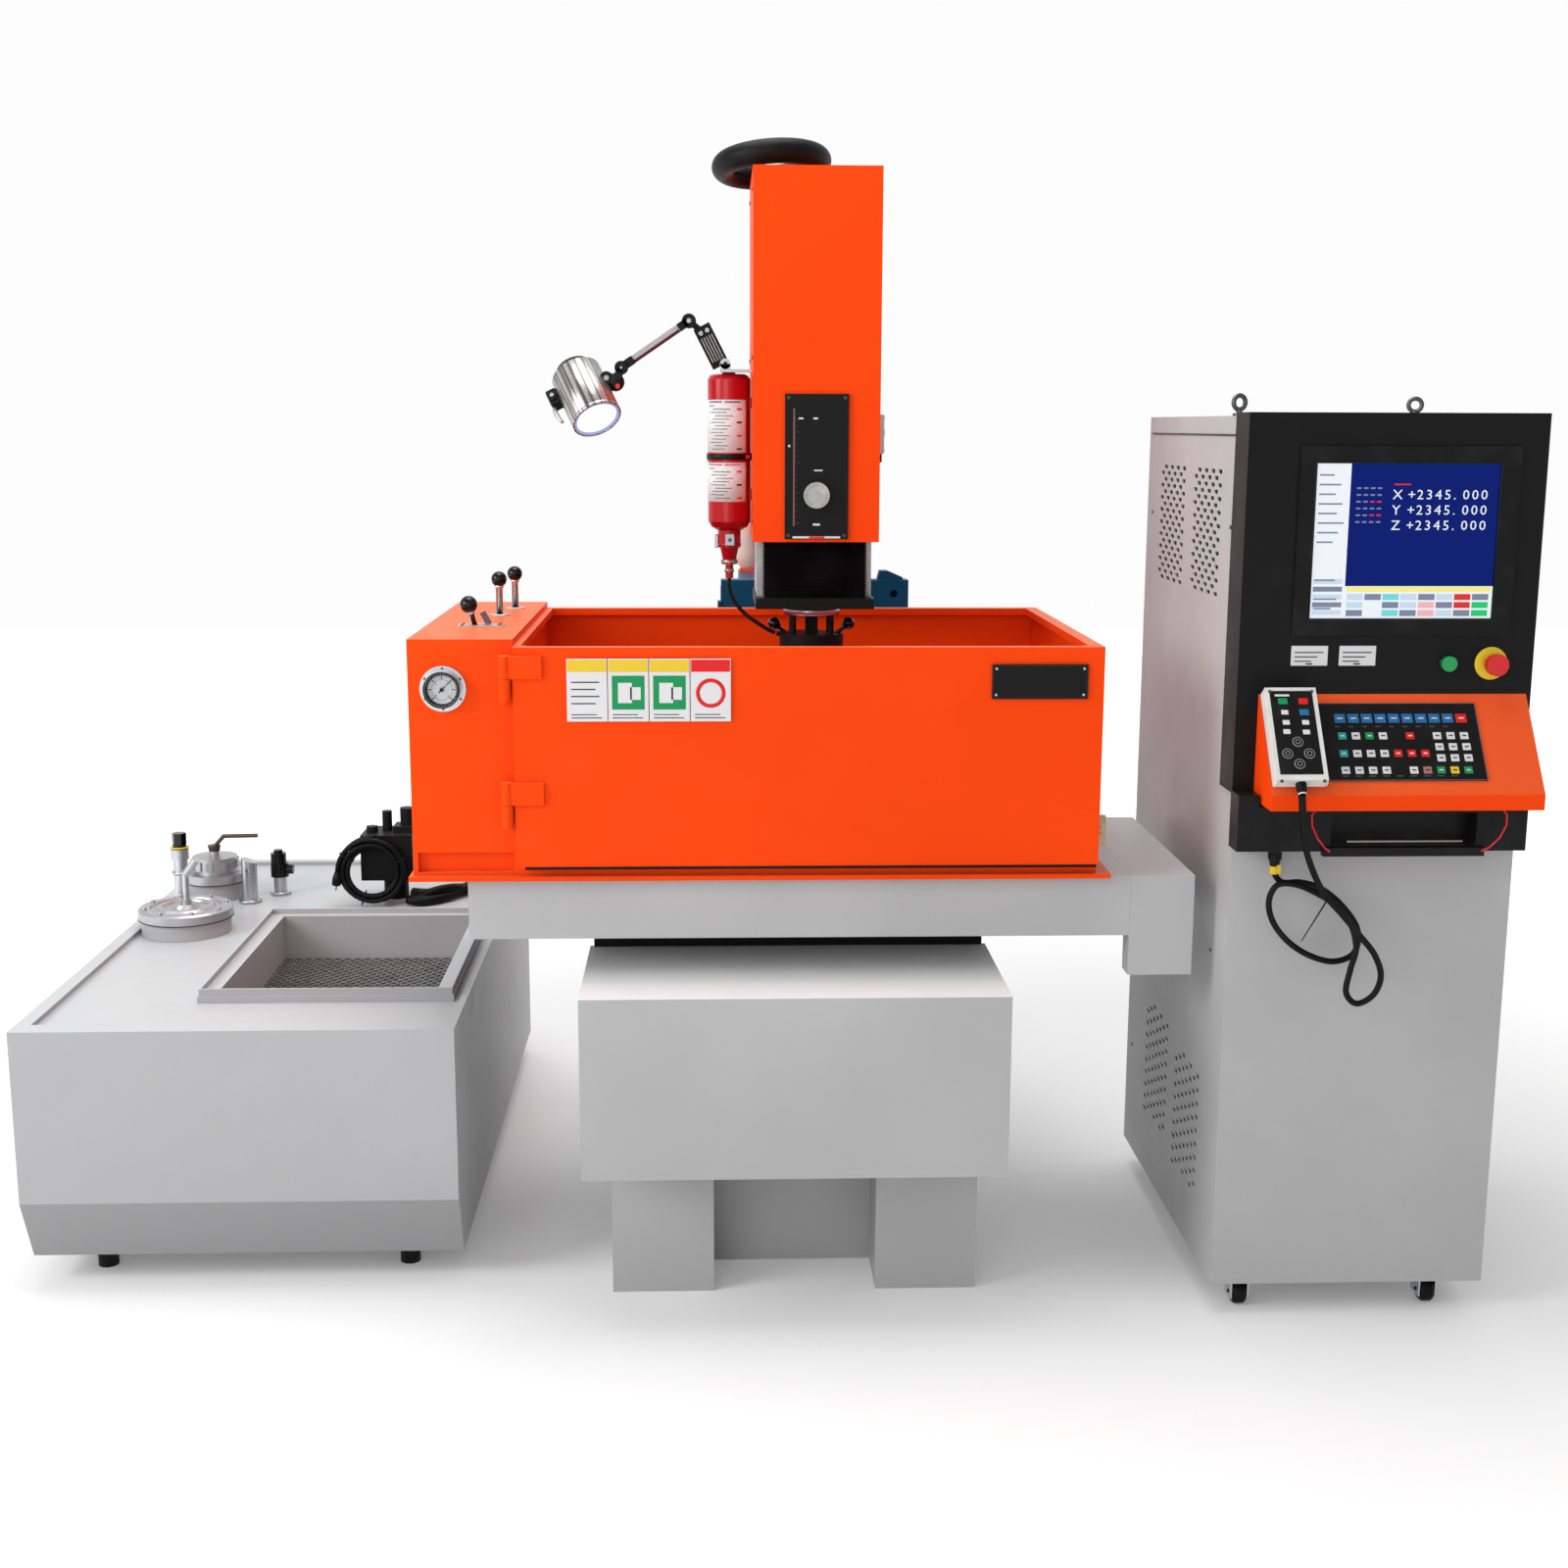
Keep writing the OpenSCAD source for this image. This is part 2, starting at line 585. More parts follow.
module column() color("orangered") at_machine() {
    y1 = base_d - 30;
    z0 = head_z0 + 50;
    block([head_x - foot_w / 2, ped_y + 20, ped_z1], [head_x + foot_w / 2, y1, z0 + eps]);
    difference() {
        block([head_x - column_w / 2, head_y + head_d, z0], [head_x + column_w / 2, y1, head_z1 - 138]);
        // hollow behind a service opening in the back
        block([head_x - column_w / 2 + 14, ped_y + 60, z0 + 60],
            [head_x + column_w / 2 - 14, y1 + 1, head_z1 - 200]);
    }
    // gussets between the column's foot and the pedestal
    for (s = [-1, 1]) translate([head_x + s * (foot_w / 2 - eps), y1 - 60, ped_z1]) rotate([90, 0, 0])
        linear_extrude(14) polygon([[0, 0], [s * 40, 0], [s * 40, 20], [0, 110]]);
}

module head_housing() color("orangered") at_machine() {
    x0 = head_x - head_w / 2;
    x1 = head_x + head_w / 2;
    y1 = head_y + head_d;
    difference() {
        block([x0, head_y, head_z0], [x1, y1 - gap, head_z1]);
        block([x0 + head_wall, head_y + head_wall, head_z0 - 1],
            [x1 - head_wall, y1 - head_wall - gap, head_z1 - head_wall]);
        // hole behind the dial
        bar_y([head_x, head_y - 1, head_z0 + 90], 6.2, 8);
    }
    // motor plate, bellows frame and the four slide blocks
    difference() {
        block([x0 + head_wall - eps, head_y + head_wall - eps, z_plate_z],
            [x1 - head_wall + eps, y1 - head_wall, z_plate_z + 12 - gap]);
        translate([head_x, ram_y + ram_d / 2, z_plate_z - 1]) cylinder(r = 14, h = 14);
    }
    block([x0 + head_wall - eps, head_y + head_wall - eps, head_z0],
        [x1 - head_wall + eps, bell_y + 34.7, head_z0 + 6]);
    for (s = [-1, 1], z = [head_z0 + 20, head_z0 + 240])
        block([head_x + s * slide_x - 20, ram_y + ram_d + 22.4, z],
            [head_x + s * slide_x + 20, y1 - head_wall - gap + eps, z + 90]);
}

module head_panel() color("dimgray") at_machine() {
    x0 = head_x - 61;
    x1 = head_x + 61;
    z0 = head_z0 + 6;
    z1 = head_z0 + 281;
    difference() {
        block([x0, head_y - 6.3, z0], [x1, head_y - gap, z1]);
        // long slot of the depth scale, screw holes and the dial's bore
        block([head_x - 45.5, head_y - 8, head_z0 + 30], [head_x - 42, head_y - 3, z1 - 25]);
        bar_y([head_x, head_y - 8, head_z0 + 90], 5 + run, 9);
        for (x = [x0 + 7, x1 - 7], z = [z0 + 7, z1 - 7]) bar_y([x, head_y - 8, z], 2.2, 9);
    }
}

module head_dial() color("gainsboro") at_machine() {
    bar_y([head_x, head_y - 24, head_z0 + 90], 24, 9);
    bar_y([head_x, head_y - 15.2, head_z0 + 90], 25, 6);
    bar_y([head_x, head_y - 16, head_z0 + 90], 5, 20);
    bar_y([head_x, head_y - 27, head_z0 + 90], 5, 4);
}

module cable_conduit() color("black") at_machine() {
    // closed bend of smooth hose, tipped up at the front, on its gland
    translate([head_x - 80, head_y + head_d - 70, head_z1 + 34]) rotate([-8, -4, 0])
        rotate_extrude($fn = 96) translate([96, 0]) circle(24);
    translate([head_x - 20, head_y + head_d - 32, head_z1 + gap]) cylinder(r = 22, h = 28);
    translate([head_x - 20, head_y + head_d - 32, head_z1 + gap]) cylinder(r = 27, h = 6);
}

module ram() color("gainsboro") at_machine() {
    x0 = head_x - ram_w / 2;
    y1 = ram_y + ram_d;
    difference() {
        block([x0, ram_y, ram_z0], [x0 + ram_w, y1, ram_z0 + ram_h]);
        translate([head_x, ram_y + ram_d / 2, ram_z0 + 60]) cylinder(r = 16, h = ram_h);
    }
    // rails on the ram's back
    for (s = [-1, 1])
        block([head_x + s * slide_x - 12, y1 - eps, ram_z0 + 20],
            [head_x + s * slide_x + 12, y1 + 22, ram_z0 + ram_h - 10]);
}

module bellows() color("black") at_machine() {
    pleats = 6;
    z1 = head_z0 - gap;
    z0 = ram_z0 + gap;
    pitch = (z1 - z0) / pleats;
    // zigzag front, back and sides give the pleats
    for (k = [0:pleats - 1]) {
        z = z0 + k * pitch;
        block([head_x - 98, bell_y + 4, z],
            [head_x + 98, bell_y + 30, z + pitch + (k < pleats - 1 ? eps : 0)]);
        block([head_x - 102, bell_y, z + pitch * 0.3], [head_x + 102, bell_y + 34, z + pitch * 0.7]);
    }
}

module electrode_head() color("black") at_machine() {
    translate([head_x, 0, 0]) {
        // foot plate under the ram
        block([-116, head_y + 22, ram_z0 - plate_t], [116, head_y + 290, ram_z0 - gap]);
        // round levelling flange, square post, pillars, disc and chuck
        difference() {
            union() {
                translate([0, chuck_y, flange_z]) cylinder(r = 55, h = 23 + eps);
                translate([-12.5, chuck_y - 12.5, disc_z1 - eps]) cube([25, 25,
                    flange_z - disc_z1 + 2 * eps]);
                for (x = [-38, 38], y = [-30, 30])
                    translate([x, chuck_y + y, disc_z1 - eps]) cylinder(r = 6,
                        h = flange_z - disc_z1 + 2 * eps);
                translate([0, chuck_y, disc_z0]) cylinder(r = 65, h = 26);
                translate([0, chuck_y, chuck_z0]) cylinder(r = 26, h = 30 + eps);
                // barb that the hose ends on
                bar_x([hose_pts[7][0] - head_x + 2.4, chuck_y - 14, hose_pts[7][2] - 1], 5, 20);
            }
            translate([0, chuck_y, chuck_z0 - 1]) cylinder(d = chuck_bore_d, h = 41);
            for (s = [-1, 1]) translate([s * 42, chuck_y, disc_z0 + 17]) rotate([0, s * 50, 0])
                translate([0, 0, -4]) cylinder(r = 4 + run, h = 60);
        }
    }
}

module chuck_knob(s) translate([head_x + s * 42, chuck_y, disc_z0 + 17]) rotate([0, s * 50, 0]) {
    translate([0, 0, -2]) cylinder(r = 4, h = 44);
    translate([0, 0, 30]) cylinder(r1 = 6, r2 = 9, h = 8);
    translate([0, 0, 44]) sphere(r = 12.5);
}
module left_chuck_knob() color("black") at_machine() chuck_knob(-1);
module right_chuck_knob() color("black") at_machine() chuck_knob(1);

// Fire bottle hung on the head with its nozzle down, its strap and the lamp's foot
module extinguisher() color("crimson") at_machine() {
    wall_x = head_x - head_w / 2 - gap;
    h = ext_z1 - ext_z0;
    translate([ext_x, ext_y, ext_z0]) {
        rotate_extrude() polygon([[0, 0], [24, 0], [ext_r - 6, 7], [ext_r, 18],
            [ext_r, h - 10], [ext_r - 4, h - 3], [ext_r - 10, h], [0, h]]);
        translate([0, 0, -34]) cylinder(r = 23, h = 34 + eps);
        translate([0, 0, -62]) cylinder(r1 = 13, r2 = 19, h = 28 + eps);
        translate([0, 0, hose_pts[0][2] - ext_z0]) cylinder(r = 8, h = ext_z0 - hose_pts[0][2] - 62 + eps);
    }
    // strap and its two saddle blocks
    difference() {
        union() {
            translate([ext_x, ext_y, ext_z0 + 138]) cylinder(r = ext_r + 1.6, h = 16);
            for (z = [ext_z0 + 60, ext_z0 + 240])
                block([ext_x + 20, ext_y - 16, z], [wall_x, ext_y + 16, z + 22]);
        }
        translate([ext_x, ext_y, ext_z0 + 30]) cylinder(r = ext_r - eps, h = h - 60);
    }
    // foot and fork of the lamp
    difference() {
        union() {
            block([lamp_p0[0] - 10, lamp_y - 17, ext_z1 + 3], [wall_x, lamp_y + 30, ext_z1 + 8]);
            block([lamp_p0[0] - 6, ext_y - 12, ext_z1 - eps], [lamp_p0[0] + 20, ext_y, ext_z1 + 3 + eps]);
            for (s = [-1, 1]) translate([lamp_p0[0], lamp_y + s * 14, lamp_p0[1]])
                rotate([90, 0, 0]) cylinder(r = 10, h = 6, center = true);
            for (s = [-1, 1]) translate([lamp_p0[0] - 10, lamp_y + s * 14 - 3, ext_z1 + 3])
                cube([20, 6, lamp_p0[1] - ext_z1 - 3]);
        }
        bar_y([lamp_p0[0], lamp_y - 20, lamp_p0[1]], 4 + run, 40);
    }
}

module extinguisher_hose() color("black") at_machine() swept_tube(hose_pts, 4, 8, [0, 1, 0.2]);

module lubricator() color("mistyrose") at_machine() {
    x = head_x - head_w / 2 + 1;
    y = head_y + head_d + 37;
    z1 = head_z0 + 50 - gap;
    translate([x, y, 0]) {
        translate([0, 0, z1 - 94]) sphere(r = 36);
        translate([0, 0, z1 - 94]) cylinder(r = 36, h = 60);
        translate([0, 0, z1 - 34 - eps]) cylinder(r = 24, h = 24);
    }
    // bracket under the column's arm
    block([x - 20, y - 18, z1 - 10 - eps], [head_x - column_w / 2 + 30, y + 18, z1]);
}

// ---------------------------------------------------------------- lamp

// A rod between two points of the plane y = lamp_y
module link_bar(a, b, w, d) {
    l = norm(b - a);
    ang = atan2(b[0] - a[0], b[1] - a[1]);
    translate([a[0], lamp_y, a[1]]) rotate([0, ang, 0]) translate([-w / 2, -d / 2, 0]) cube([w, d, l]);
}

module lamp_link() color("black") at_machine() difference() {
    union() {
        bar_y([lamp_p0[0], lamp_y - 10.7, lamp_p0[1]], 9.5, 21.4);
        link_bar(lamp_box[0], lamp_box[1], 34, 20);
        link_bar(lamp_box[1] + [6, -14], lamp_p1, 12, 9);
        bar_y([lamp_p1[0], lamp_y - 4.5, lamp_p1[1]], 11, 9);
        bar_y([lamp_p0[0], lamp_y - 19, lamp_p0[1]], 4, 38);
    }
    bar_y([lamp_p1[0], lamp_y - 20, lamp_p1[1]], lamp_pin + run, 40);
}

module lamp_arm() color("silver") at_machine() {
    // pin of the fork
    bar_y([lamp_p1[0], lamp_y - 14, lamp_p1[1]], lamp_pin, 28);
    difference() {
        // fork at the top, the bar, and the eye at the lower end
        union() {
            for (s = [-1, 1]) bar_y([lamp_p1[0], lamp_y + s * 8 - 3, lamp_p1[1]], 14, 6);
            link_bar(lamp_p1, lamp_p1 + (lamp_p2 - lamp_p1) * 0.24, 16, 21.6);
            link_bar(lamp_p1 + (lamp_p2 - lamp_p1) * 0.2, lamp_p2, 15.6, 10);
            bar_y([lamp_p2[0], lamp_y - 11, lamp_p2[1]], 11, 22);
        }
        // slot of the fork, open round the link's eye
        translate([lamp_p1[0], lamp_y, lamp_p1[1]]) rotate([0, lamp_a, 0])
            translate([-16, -4.8, -15]) cube([32, 9.6, 28]);
        bar_y([lamp_p2[0], lamp_y - 12, lamp_p2[1]], lamp_pin + run, 24);
    }
}

module lamp_head() color("gainsboro") at_machine() {
    // shell with its lens, fins at the back and the clamp lever
    translate(lamp_c) rotate(lamp_turn) {
        difference() {
            translate([0, 0, -lamp_l / 2]) cylinder(r = lamp_r, h = lamp_l - 18, $fn = 96);
            translate([0, 0, -lamp_l / 2 - 1]) cylinder(r = lamp_r - 4, h = 9, $fn = 96);
        }
        translate([0, 0, -lamp_l / 2 + 5]) cylinder(r = lamp_r - 4.5, h = 4);
        translate([0, 0, lamp_l / 2 - 18 - eps]) cylinder(r1 = lamp_r - 2, r2 = lamp_r - 16, h = 18);
        translate([-lamp_r - 14, -12, 6]) cube([20, 24, 30]);
        translate([-lamp_r - 20, -4, -36]) rotate([0, 8, 0]) cube([6, 8, 62]);
    }
    // ball beside the shell, and the two cheeks with the pin through the arm's eye
    translate([lamp_ball[0], lamp_y, lamp_ball[1]]) sphere(r = 18);
    for (s = [-1, 1]) translate([0, s * 13.2, 0]) link_bar(lamp_p2, lamp_ball, 15, 3.6);
    for (s = [-1, 1]) bar_y([lamp_p2[0], lamp_y + s * 13.2 - 1.8, lamp_p2[1]], 9, 3.6);
    bar_y([lamp_p2[0], lamp_y - 15.6, lamp_p2[1]], lamp_pin, 31.2);
}

// ---------------------------------------------------------------- reservoir

module reservoir_tank() color("lightgray") at_machine() {
    y1 = res_y + res_d;
    difference() {
        translate([res_x0, 0, 0]) rotate([90, 0, 90]) linear_extrude(res_w) polygon([[res_y, toe_z],
            [res_y, res_z1], [y1, res_z1], [y1, res_z0], [res_y + toe_in, res_z0]]);
        // inside of the tank
        translate([res_x0 + 4, 0, 0]) rotate([90, 0, 90]) linear_extrude(res_w - 8)
            polygon([[res_y + 4, toe_z + 2], [res_y + 4, deck_z - 6], [y1 - 4, deck_z - 6],
                [y1 - 4, res_z0 + 4], [res_y + toe_in + 3, res_z0 + 4]]);
        // recessed deck and the opening for the strainer basket
        block([res_x0 + rim_w, res_y + 48, deck_z], [res_x1 - 14, y1 - rim_w, res_z1 + 1]);
        block([bask_x[0] + 18, bask_y[0] + 10, deck_z - 10], [bask_x[1] - 18, bask_y[1] - 10, res_z1 + 1]);
    }
    // round feet
    for (x = [res_x0 + 115, res_x1 - 123], y = [res_y + toe_in + 93, y1 - 110])
        translate([x, y, 0]) cylinder(r = foot_r, h = res_z0 + eps);
}

module filter_pots() color("gray") at_machine() {
    translate([pot_xy[0], pot_xy[1], deck_z + gap]) pot_shell(pot_r1, pot_h);
    translate([pot2_xy[0], pot2_xy[1], deck_z + gap]) pot_shell(pot_r2, pot_h + 7);
}
module pot_shell(r, h) difference() {
    cylinder(r = r, h = h, $fn = 96);
    translate([0, 0, 4]) cylinder(r = r - 8, h = h, $fn = 96);
}

module filter_lids() color("silver") at_machine() {
    z1 = deck_z + 2 * gap + pot_h;
    translate([pot_xy[0], pot_xy[1], z1]) rotate_extrude($fn = 96)
        polygon([[0, 0], [pot_r1 + 6, 0], [pot_r1 + 6, 20], [pot_r1 + 2, 24], [80, 24], [78, 20],
            [67, 20], [62, 26], [52, 26], [49, 21], [30, 21], [24, lid_h], [0, lid_h]]);
    translate([pot2_xy[0], pot2_xy[1], z1 + 7]) difference() {
        union() {
            cylinder(r = pot_r2 + 9, h = 22, $fn = 96);
            translate([0, 0, 22 - eps]) cylinder(r = pot_r2 - 16, h = 10, $fn = 96);
            translate([0, 0, 32 - eps]) cylinder(r = pot_r2 - 12, h = 29, $fn = 96);
            for (a = [0:30:330]) rotate([0, 0, a]) translate([pot_r2 - 13, -8, 32 - eps]) cube([5, 16, 22]);
            translate([0, 0, 61 - eps]) cylinder(r = 12, h = 12);
        }
        translate([0, 0, 56]) cylinder(r = 5 + run, h = 30);
    }
}

module clamp_handle() color("tan") at_machine() translate([pot2_xy[0], pot2_xy[1], deck_z + pot_h + 7]) {
    translate([0, 0, 58]) cylinder(r = 5, h = 20);
    translate([0, 0, 74.2]) cylinder(r1 = 13, r2 = 16, h = 14);
    // bent handle
    translate([0, 0, 84]) rotate([0, 42, 0]) cylinder(r = 5, h = 36);
    translate([24, 0, 110.8]) sphere(r = 5.2);
    translate([24, 0, 110.8]) rotate([0, 89, 0]) cylinder(r = 5, h = 84);
}

module riser_pipes() color("silver") at_machine() {
    // return pipe with its collar
    translate([stem_xy[0], stem_xy[1], deck_z + gap]) difference() {
        union() {
            cylinder(r = 17, h = stem_h);
            translate([0, 0, stem_h - 25]) cylinder(r = 21, h = 25);
        }
        translate([0, 0, stem_h - 18]) cylinder(r = 5 + run, h = 30);
    }
    // outlet tube of the front lid with its slanted tip
    translate([pot_xy[0] + 2, pot_xy[1], deck_z + pot_h + lid_h + 3 * gap]) {
        cylinder(r = 12, h = 10);
        cylinder(r = 7, h = 74);
        translate([0, 0, 66]) rotate([0, 36, 0]) cylinder(r = 9, h = 44);
    }
    // vent post with a slanted top and a cross hole
    translate([vent_xy[0], vent_xy[1], deck_z + gap]) difference() {
        cylinder(r = 18.5, h = 116);
        translate([0, 0, 106]) rotate([0, 20, 0]) translate([-40, -40, 0]) cube([80, 80, 60]);
        bar_y([0, -30, 81], 6, 30);
    }
    // drain valve stem
    translate([vstem_xy[0], vstem_xy[1], deck_z + gap]) difference() {
        cylinder(r = 16, h = 46);
        translate([0, 0, 24]) cylinder(r = 5 + run, h = 30);
    }
}

module return_valve_knob() color("black") at_machine()
    translate([stem_xy[0], stem_xy[1], deck_z + gap + stem_h]) {
        translate([0, 0, -16]) cylinder(r = 5, h = 30);
        translate([0, 0, gap]) cylinder(r = 16, h = 11);
        translate([0, 0, 11]) cylinder(r = 17, h = 27, $fn = 6);
    }

module drain_valve_knob() color("black") at_machine() translate([vstem_xy[0], vstem_xy[1], deck_z + gap]) {
    translate([0, 0, 26]) cylinder(r = 5, h = 30);
    translate([0, 0, 46 + gap]) cylinder(r = 22, h = 34);
    translate([-2, 0, 80]) cylinder(r = 19, h = 26);
    translate([10, 0, 64]) rotate([0, 90, 0]) cylinder(r = 12, h = 24);
    translate([-2, 0, 106 - eps]) cylinder(r = 11, h = 8);
}

module strainer_basket() color("silver") at_machine() {
    x0 = bask_x[0];
    x1 = bask_x[1];
    y0 = bask_y[0];
    y1 = bask_y[1];
    z0 = deck_z + gap;
    z1 = res_z1 + bask_h;
    // rim: a lower band, an upstand set back a little, and the ledge inside it
    difference() {
        union() {
            block([x0, y0, z0], [x1, y1, z1 - 15]);
            block([x0 + 3, y0 + 3, z0], [x1 - 3, y1 - 3, z1]);
        }
        block([x0 + 7, y0 + 7, z1 - 12], [x1 - 7, y1 - 7, z1 + 1]);
        block([x0 + 34, y0 + 26, z0 - 1], [x1 - 34, y1 - 26, z1]);
    }
    // pan that hangs in the opening
    difference() {
        block([x0 + 34 - eps, y0 + 26 - eps, bask_floor], [x1 - 34 + eps, y1 - 26 + eps, z1 - 12]);
        block([x0 + 37, y0 + 29, bask_floor + 3], [x1 - 37, y1 - 29, z1]);
        // mesh openings
        for (i = [0:9], j = [0:13])
            translate([x0 + 60 + i * 40, y0 + 52 + j * 40, bask_floor - 1]) cube([30, 30, 6]);
    }
}

module circulation_pump() color("black") at_machine() {
    x = pump_c[0];
    y = pump_c[1];
    // pump body on its pillar, cable gland, outlet stub and pressure cap
    translate([x + 8, y + 20, deck_z + gap]) cylinder(r = 30, h = 60);
    block([x - 63, y - 62, deck_z + 60], [x + 63, y + 58, deck_z + 172]);
    translate([x - 40, y - 20, deck_z + 172 - eps]) cylinder(r = 14, h = 16);
    translate([x - 6, y, deck_z + 172 - eps]) cylinder(r = 12, h = 50);
    block([x + 12, y - 30, deck_z + 172 - eps], [x + 63, y + 30, deck_z + 188]);
    translate([x + 44, y, deck_z + 188 - eps]) cylinder(r = 18, h = 42);
    // supply hose along the deck to the port on the machine base
    swept_tube(supply_pts, 14, 10, [0, 0, 1]);
    bar_x([-base_w / 2 - 46, supply_y, supply_z], 18, 46 - gap);
}

module pump_cable() color("black") at_machine()
    translate([coil_c[0], coil_c[1], deck_z + gap + coil_r]) rotate([90, 0, 0])
        rotate_extrude($fn = 96) translate([coil_in, -coil_t / 2]) square([coil_r - coil_in, coil_t]);

// ---------------------------------------------------------------- control cabinet

module cabinet_frame() color("lightgray") at_machine() {
    x1 = cab_x + cab_w;
    y1 = cab_y + cab_d;
    difference() {
        block([cab_x, cab_y, cab_z0], [x1, y1, cab_z1]);
        block([cab_x + sheet, cab_y + sheet, cab_z0 + sheet], [x1 - sheet, y1 - sheet, cab_z1 - sheet]);
        // openings for the side panels
        block([cab_x - 1, panel_y[0], panel_z[0]], [x1 + 1, panel_y[1], panel_z[1]]);
        // opening behind the monitor and the bezel's corner
        block([mon_x[0] - 8, cab_y - 1, mon_z[0] - 8], [mon_x[1] + 8, cab_y + sheet + 1, mon_z[1] + 8]);
        for (x = [start_x, estop_x]) bar_y([x, cab_y - 1, button_z], 14, 8);
    }
    // corner posts that the side panels screw to
    for (x = [cab_x + sheet + gap, x1 - sheet - gap - 20], y = [panel_y[0] - 10, panel_y[1] - 10])
        block([x, y, cab_z0 + sheet - eps], [x + 20, y + 20, cab_z1 - sheet + eps]);
}

// A level slot with round ends, from its lower left corner
module slot(l, h) translate([h / 2, 0]) {
    square([l - h, h]);
    for (x = [0, l - h]) translate([x, h / 2]) circle(d = h);
}
// Vents of one side panel, drawn with X along the cabinet's depth: two blocks of staggered
// rows near the top and two blocks of slots in slanting rows near the bottom
module upper_vents() for (c = [0, 1], j = [0:18], i = [0:3])
    translate([c * 281 + i * 52 + (j % 2) * 26, j * 12.8]) slot(28, vent_h);
module lower_vents() for (c = [0, 1], i = [0:6], j = [0:8])
    translate([c * 262 + i * 29, c * 20 + ((6 - i) * 12.8) % 28 + j * 28]) slot(24, vent_h);

module side_panels() color("gainsboro") at_machine() {
    l = panel_y[1] - panel_y[0] - 2 * gap;
    h = panel_z[1] - panel_z[0] - 2 * gap;
    for (x = [cab_x, cab_x + cab_w - sheet])
        translate([x, panel_y[0] + gap, panel_z[0] + gap]) rotate([90, 0, 90]) linear_extrude(sheet)
            difference() {
                square([l, h]);
                translate([95, h - 300]) upper_vents();
                translate([64, 70]) lower_vents();
                translate([14, h - 166]) circle(4);
            }
}

module front_bezel() color("dimgray") at_machine() difference() {
    x0 = cab_x - bez_over;
    x1 = cab_x + cab_w + bez_over;
    block([x0, bez_y, bez_z0], [x1, cab_y + bez_side, cab_z1 + 6]);
    // fits over the cabinet's front
    block([cab_x - gap, cab_y - gap, bez_z0 - 1],
        [cab_x + cab_w + gap, cab_y + bez_side + 1, cab_z1 + gap]);
    block([mon_x[0] - gap, bez_y - 1, mon_z[0] - gap], [mon_x[1] + gap, cab_y + 1, mon_z[1] + gap]);
    bar_y([start_x, bez_y - 1, button_z], 9 + run, 12);
    bar_y([estop_x, bez_y - 1, button_z], 8 + run, 12);
}

module monitor() color("dimgray") at_machine() difference() {
    union() {
        block([mon_x[0], bez_y - 4, mon_z[0]], [mon_x[1], cab_y + 8, mon_z[1]]);
        block([mon_x[0] + 20, cab_y + 8 - eps, mon_z[0] + 20], [mon_x[1] - 20, cab_y + 60, mon_z[1] - 20]);
    }
    // screen set back in its frame
    block([mon_x[0] + 31, bez_y - 5, mon_z[0] + 31], [mon_x[1] - 36, bez_y, mon_z[1] - 31]);
}

// Slanted face of the console: a frame with X to the right, Y down the slope, Z out of the face
module on_slope() translate([0, bez_y, cons_z1])
    rotate([90 - cons_a, 0, 0]) mirror([0, 1, 0]) children();

module console() color("orangered") at_machine() {
    difference() {
        translate([cons_x0, 0, 0]) rotate([90, 0, 90]) linear_extrude(cons_x1 - cons_x0) polygon([
            [bez_y - gap, cons_z1], [bez_y - cons_out, cons_z1 - cons_drop],
            [bez_y - cons_out, cons_z1 - cons_drop - cons_lip],
                [bez_y - gap, cons_z1 - cons_drop - cons_lip]]);
        translate([cons_x0 + sheet, 0, 0]) rotate([90, 0, 90]) linear_extrude(cons_x1 - cons_x0 - 2 * sheet)
            polygon([[bez_y - gap - sheet, cons_z1 - 16],
                [bez_y - cons_out + sheet, cons_z1 - cons_drop - 2],
                [bez_y - cons_out + sheet, cons_z1 - cons_drop - cons_lip + sheet],
                [bez_y - gap - sheet, cons_z1 - cons_drop - cons_lip + sheet]]);
    }
    // block that holds the pendant off the slanted face
    on_slope() block([856, 70, -1], [894, 126, pend_n - 15]);
}

module keypad() color("dimgray") at_machine() on_slope()
    block([cons_x0 + 99, 20, gap], [cons_x0 + 393, 174, 3]);

module pendant() color("gainsboro") at_machine() on_slope() {
    block([pend_x[0], pend_s[0], pend_n - 15 + gap], [pend_x[1], pend_s[1], pend_n + 14]);
    translate([876, pend_s[1] - eps, pend_n]) rotate([-90, 0, 0])
        cylinder(r1 = relief_r + 2, r2 = relief_r, h = relief_l);
}

module pendant_cable() color("black") at_machine() swept_tube(cable_pts, cord_r, 8, [0.1, 1, 0.05]);

module cable_connector() color("black") at_machine() translate([870, -165, 0]) {
    translate([0, 0, fair_z0 - 20]) cylinder(r = 13, h = 20 - gap);
    translate([0, 0, fair_z0 - 34]) cylinder(r1 = 8, r2 = 11, h = 14 + eps);
}

module lower_fairing() color("dimgray") at_machine() difference() {
    x0 = cab_x - 8;
    x1 = cab_x + cab_w - 6;
    lip_z = cons_z1 - cons_drop - cons_lip;
    union() {
        block([x0, fair_y, fair_z0], [x1, bez_y - gap, lip_z - 4]);
        // shoulder beside the console
        block([x0, fair_y, fair_z0], [cons_x0 - 4, bez_y - gap, lip_z + 17]);
        // hand bar
        block([grip_x[0] - 14, fair_y - 8, fair_z0 - 8], [grip_x[1] + 14, fair_y + 8, fair_z0 + 8]);
    }
    // hand opening behind the bar
    block([grip_x[0], fair_y - 12, fair_z0 + 8], [grip_x[1], fair_y + 42, lip_z - 16]);
    block([grip_x[0], fair_y + 8, fair_z0 - 9], [grip_x[1], fair_y + 42, fair_z0 + 20]);
}

module fairing_cords() color("red") at_machine() {
    swept_tube(left_cord, 1.6, 8, [0, 1, 0]);
    swept_tube(right_cord, 1.6, 8, [0, 1, 0]);
}

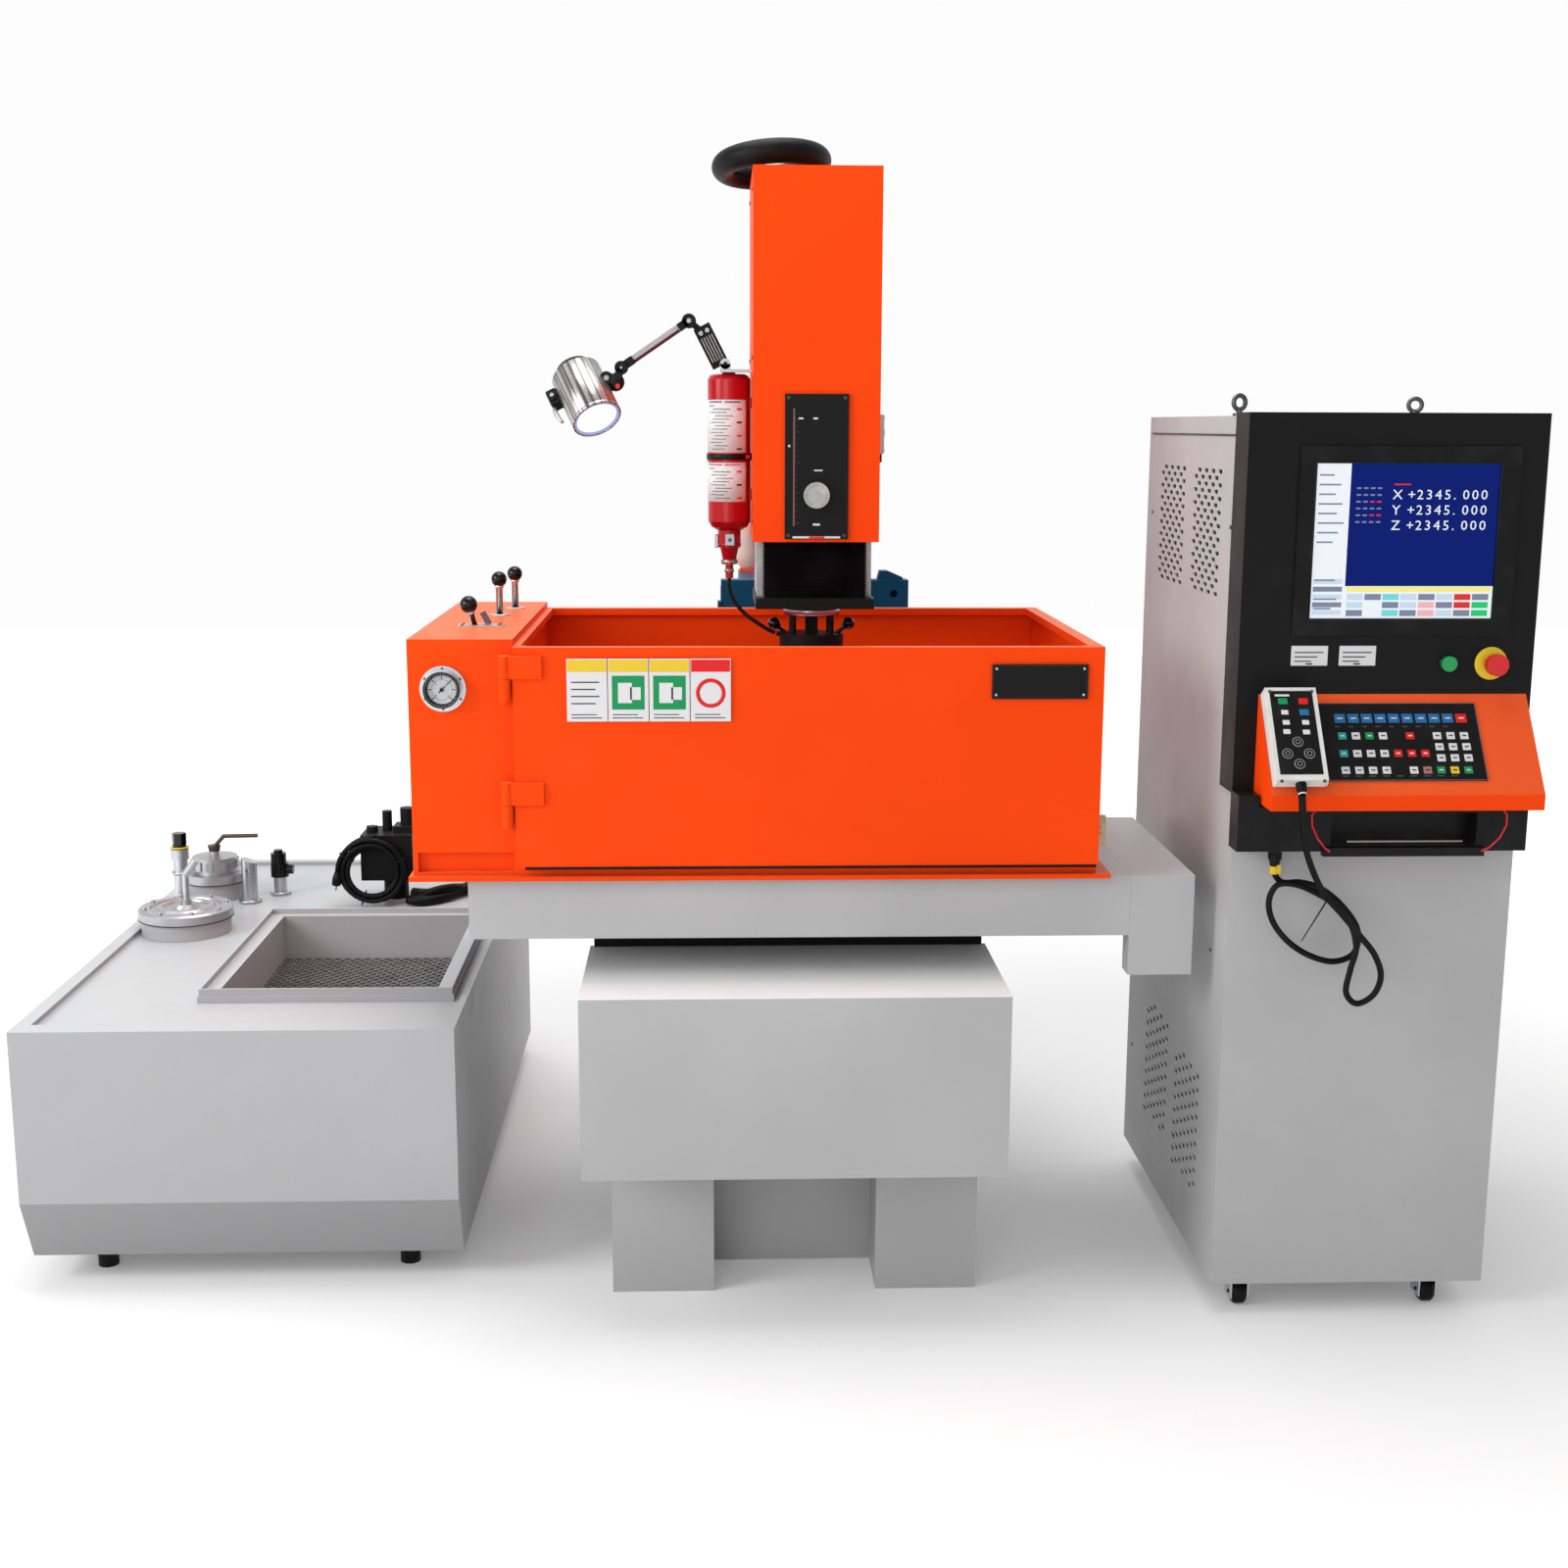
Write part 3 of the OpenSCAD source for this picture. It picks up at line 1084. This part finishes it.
module estop_cap() color("red") at_machine() translate([estop_x, bez_y, button_z]) {
    bar_y([0, -14, 0], 8, 30);
    bar_y([0, -34, 0], 20, 14);
    bar_y([0, -20 - eps, 0], 15, 8);
}

module start_button() color("limegreen") at_machine() translate([start_x, bez_y, button_z]) {
    bar_y([0, -6, 0], 9, 22);
    bar_y([0, -12, 0], 14, 7);
}

module eye_bolts() color("dimgray") at_machine()
    for (p = [[cab_x + 40, cab_y + 230, 20], [cab_x + cab_w - 44, cab_y + 530, -15]])
        translate([p[0], p[1], cab_z1 + gap]) {
            cylinder(r = 12, h = 5);
            cylinder(r = 6, h = 14);
            translate([0, 0, 25]) rotate([90, 0, p[2]]) rotate_extrude() translate([13, 0]) circle(4.5,
                $fn = 24);
        }

module caster_forks() color("dimgray") at_machine()
    for (x = caster_x, y = caster_y) translate([x, y, 0]) difference() {
        union() {
            // top plate, swivel, crown over the wheel and the two cheeks
            translate([-28, -22, cab_z0 - gap - 3]) cube([56, 60, 3]);
            translate([0, 8, cab_z0 - 12]) cylinder(r = 20, h = 9);
            translate([-cheek_x - 3, -16, cab_z0 - 12]) cube([2 * cheek_x + 6, 42, 4]);
            for (s = [0, 1]) translate([s * (2 * cheek_x + 3) - cheek_x - 3, -16, wheel_r - 10])
                cube([3, 42, cab_z0 - wheel_r]);
        }
        bar_x([-cheek_x - 4, 0, wheel_r], 4 + run, 2 * cheek_x + 8);
    }

module wheel_pair(y) for (x = caster_x) translate([x, y, wheel_r]) rotate([0, 90, 0]) {
    translate([0, 0, -wheel_w / 2]) rotate_extrude($fn = 96) polygon([[0, 2], [8, 2], [8, 0],
        [wheel_r - 9, 0],
        [wheel_r - 7, 1], [wheel_r - 4, 1], [wheel_r, 6], [wheel_r, wheel_w - 6],
            [wheel_r - 4, wheel_w - 1],
        [wheel_r - 7, wheel_w - 1], [wheel_r - 9, wheel_w], [8, wheel_w], [8, wheel_w - 2],
            [0, wheel_w - 2]]);
    translate([0, 0, -cheek_x - 4.5]) cylinder(r = 4, h = 2 * cheek_x + 9);
}
module front_wheels() color("black") at_machine() wheel_pair(caster_y[0]);
module rear_wheels() color("black") at_machine() wheel_pair(caster_y[1]);

base_casting();
front_cover();
axis_servo_drives();
column_pedestal();
column();
head_housing();
head_panel();
cable_conduit();
extinguisher();
extinguisher_hose();
lubricator();
reservoir_tank();
filter_pots();
filter_lids();
riser_pipes();
strainer_basket();
circulation_pump();
pump_cable();
cabinet_frame();
side_panels();
front_bezel();
monitor();
console();
keypad();
lower_fairing();
pendant();
pendant_cable();
cable_connector();
eye_bolts();
caster_forks();
fairing_cords();
saddle();
table();
table_drive();
work_table();
work_tank();
pressure_gauge();
gauge_needle();
flow_lever();
fill_rod();
drain_rod();
tank_door();
door_seal();
door_latch();
ram();
bellows();
electrode_head();
left_chuck_knob();
right_chuck_knob();
head_dial();
lamp_link();
lamp_arm();
lamp_head();
clamp_handle();
return_valve_knob();
drain_valve_knob();
estop_cap();
start_button();
front_wheels();
rear_wheels();
